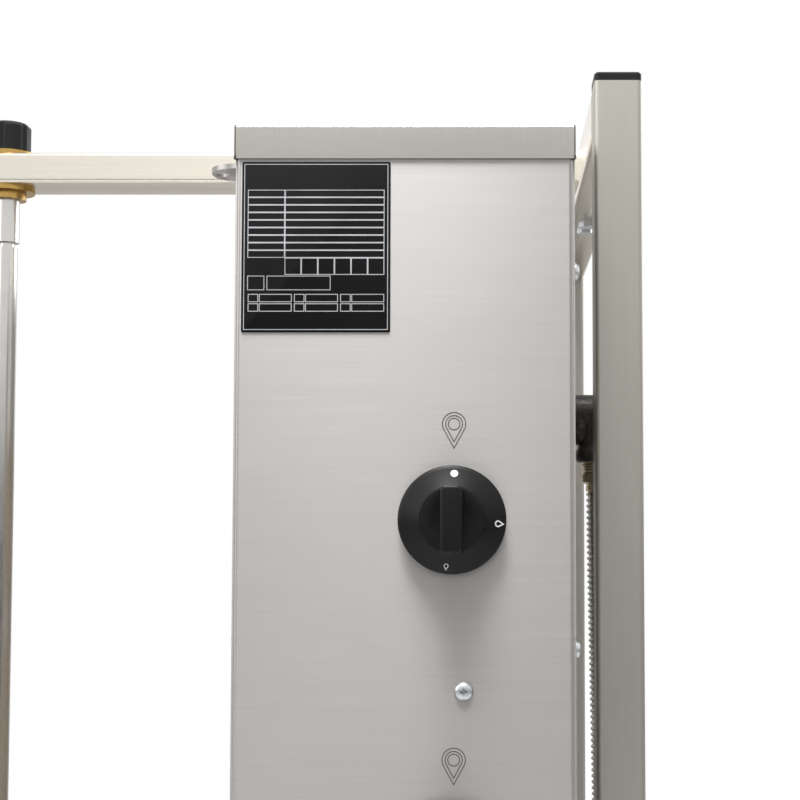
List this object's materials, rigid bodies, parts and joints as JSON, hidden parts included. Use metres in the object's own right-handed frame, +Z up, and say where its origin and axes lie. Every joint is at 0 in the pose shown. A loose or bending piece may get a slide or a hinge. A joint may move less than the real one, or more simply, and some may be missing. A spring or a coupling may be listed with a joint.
{
  "type": "doner kebab grill",
  "caption": "Free-standing gas doner kebab grill with a sliding burner case, side gas knobs, driven vertical spit, drip pan and grease drawer",
  "frame": {"origin": "on the floor, under the middle of the overall bounding box", "axes": "+Z up, -Y towards the person carving (spit side), +X towards the gas controls"},
  "size_m": [0.7354, 0.768, 1.0043],
  "materials": {
    "brushed_stainless": "horizontal brushed grain",
    "stainless_tube": "brushed along the tube",
    "stainless_bright": "smooth",
    "zinc_steel": "bright zinc plate",
    "yellow_zinc": "yellow passivated zinc",
    "black_iron": "black malleable iron",
    "brass": "turned",
    "aluminium": "drawn tube",
    "burner_steel": "aluminised",
    "ceramic": "perforated plaque",
    "black_plastic": "satin",
    "red_plastic": "satin",
    "black_rubber": "matt",
    "black_plate": "printed film on metal",
    "motor_paint": "enamel"
  },
  "bodies": {
    "frame": {"feet": "black_rubber", "base_floor": "brushed_stainless", "base_walls": "brushed_stainless", "base_deck": "brushed_stainless", "drip_pan": "stainless_bright", "drawer_guides": "zinc_steel", "slide_rails": "zinc_steel", "right_post": "stainless_tube", "left_post": "stainless_tube", "tube_caps": "black_plastic", "crossbar": "stainless_tube", "spit_arm": "stainless_tube", "arm_bolts": "zinc_steel", "top_bearing": "brass", "motor_bracket": "zinc_steel", "gear_motor": "motor_paint", "cable_gland": "black_plastic", "switch_housing": "black_plastic", "gas_inlet": "brass", "inlet_nut": "yellow_zinc", "gas_hose": "stainless_bright"},
    "burner_unit": {"control_panel": "brushed_stainless", "left_panel": "brushed_stainless", "rear_cover": "brushed_stainless", "lid": "brushed_stainless", "case_floor": "brushed_stainless", "front_frame": "brushed_stainless", "guard_mesh": "stainless_bright", "burner_1": "burner_steel", "burner_2": "burner_steel", "burner_3": "burner_steel", "ceramic_tiles": "ceramic", "gas_manifold": "black_iron", "gas_valves": "brass", "supply_pipes": "aluminium", "elbow": "black_iron", "nipple": "yellow_zinc", "hose_nut": "yellow_zinc", "runners": "zinc_steel", "wing_lugs": "brushed_stainless", "case_screws": "zinc_steel", "rating_plate": "black_plate"},
    "spit": {"spit_rod": "stainless_bright", "spit_disc": "stainless_bright", "drive_coupling": "stainless_bright"},
    "pin": {"top_pin": "stainless_bright", "pin_knob": "black_plastic"},
    "drawer": {"grease_drawer": "brushed_stainless", "drawer_handle": "stainless_bright"},
    "rocker": {"motor_rocker": "red_plastic"},
    "plunger_1": {"spring_cup_1": "zinc_steel"},
    "gas_knob_1": {"knob_1": "black_plastic", "stem_1": "zinc_steel"},
    "plunger_2": {"spring_cup_2": "zinc_steel"},
    "gas_knob_2": {"knob_2": "black_plastic", "stem_2": "zinc_steel"},
    "plunger_3": {"spring_cup_3": "zinc_steel"},
    "gas_knob_3": {"knob_3": "black_plastic", "stem_3": "zinc_steel"}
  },
  "joints": [
    {"name": "burner_slide", "type": "slide", "parent": "frame", "child": "burner_unit", "axis": [0, -1, 0], "range_m": [0, 0.1], "deforming": ["gas_hose"]},
    {"name": "spit_turn", "type": "hinge", "parent": "frame", "child": "spit", "pos_m": [-0.01825, -0.14, 0.15], "axis": [0, 0, 1], "continuous": true},
    {"name": "pin_lift", "type": "slide", "parent": "frame", "child": "pin", "axis": [0, 0, 1], "range_m": [0, 0.04]},
    {"name": "drawer_slide", "type": "slide", "parent": "frame", "child": "drawer", "axis": [0, -1, 0], "range_m": [0, 0.12]},
    {"name": "motor_switch", "type": "hinge", "parent": "frame", "child": "rocker", "pos_m": [0.28875, -0.25, 0.065], "axis": [0, -1, 0], "range_deg": [0, 20]},
    {"name": "knob_1_push", "type": "slide", "parent": "burner_unit", "child": "plunger_1", "axis": [-1, 0, 0], "range_m": [0, 0.004], "stiffness_N_per_m": 1500, "springref_m": -0.002},
    {"name": "knob_1_turn", "type": "hinge", "parent": "plunger_1", "child": "gas_knob_1", "pos_m": [0.32975, 0.241, 0.671], "axis": [1, 0, 0], "range_deg": [0, 187]},
    {"name": "knob_2_push", "type": "slide", "parent": "burner_unit", "child": "plunger_2", "axis": [-1, 0, 0], "range_m": [0, 0.004], "stiffness_N_per_m": 1500, "springref_m": -0.002},
    {"name": "knob_2_turn", "type": "hinge", "parent": "plunger_2", "child": "gas_knob_2", "pos_m": [0.32975, 0.241, 0.471], "axis": [1, 0, 0], "range_deg": [0, 187]},
    {"name": "knob_3_push", "type": "slide", "parent": "burner_unit", "child": "plunger_3", "axis": [-1, 0, 0], "range_m": [0, 0.004], "stiffness_N_per_m": 1500, "springref_m": -0.002},
    {"name": "knob_3_turn", "type": "hinge", "parent": "plunger_3", "child": "gas_knob_3", "pos_m": [0.32975, 0.241, 0.271], "axis": [1, 0, 0], "range_deg": [0, 187]}
  ]
}
